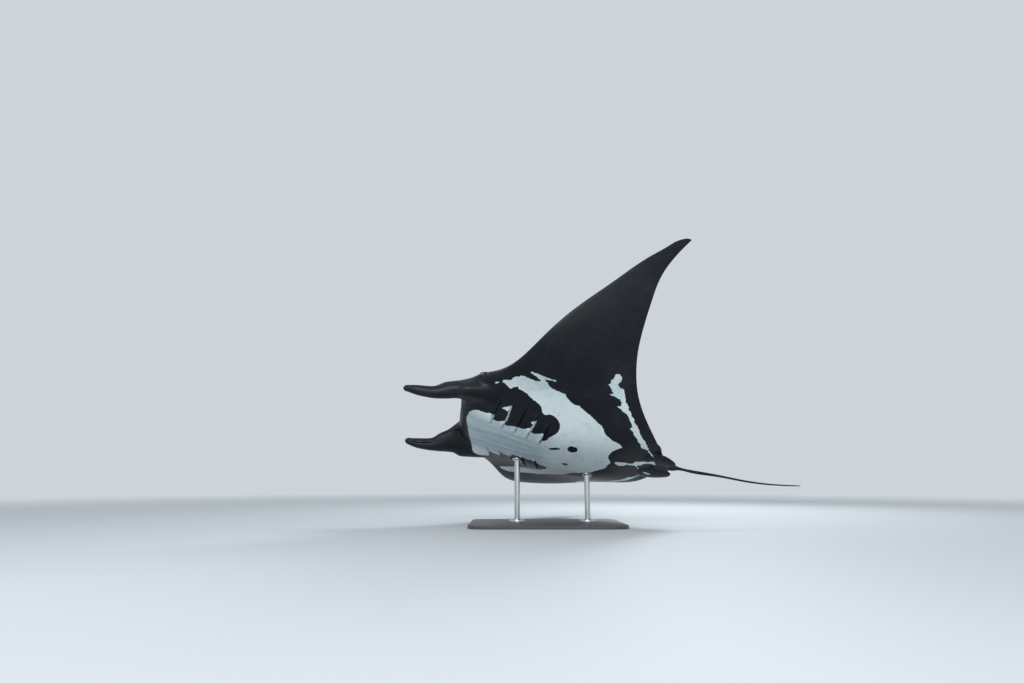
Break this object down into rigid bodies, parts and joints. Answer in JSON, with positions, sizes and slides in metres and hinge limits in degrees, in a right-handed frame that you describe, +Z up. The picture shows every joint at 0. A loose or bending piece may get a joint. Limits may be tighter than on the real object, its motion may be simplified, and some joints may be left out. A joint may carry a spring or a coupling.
{
  "type": "manta ray",
  "caption": "Life-size still manta ray gliding with its wings raised, dark above and white on the belly, held by a plain display stand.",
  "frame": {"origin": "centre of the stand's underside, on the floor", "axes": "+Z up; the ray heads towards -X, banked so that its belly looks towards -Y, and its tail points to +X"},
  "size_m": [3.764, 3.0782, 2.4049],
  "materials": {
    "skin": "smooth, faintly rough ray skin, black above and mostly white on the belly",
    "eye": "wet gloss",
    "stand_base": "satin dark grey paint",
    "stand_steel": "brushed"
  },
  "bodies": {
    "root": {"head": "skin", "trunk": "skin", "tail_root": "skin", "back_fin": "skin", "cephalic_fin_left": "skin", "cephalic_fin_right": "skin", "eye_left": "eye", "eye_right": "eye", "wing_root_left": "skin", "wing_root_right": "skin", "wing_middle_left": "skin", "wing_middle_right": "skin", "wing_tip_left": "skin", "wing_tip_right": "skin", "pelvic_fin_left": "skin", "pelvic_fin_right": "skin", "tail_front": "skin", "tail_middle": "skin", "tail_end": "skin", "stand_base": "stand_base", "stand_saddle_front": "stand_steel", "stand_saddle_rear": "stand_steel", "stand_flange_front": "stand_steel", "stand_flange_rear": "stand_steel", "stand_rod_front": "stand_steel", "stand_rod_rear": "stand_steel"}
  },
  "joints": []
}
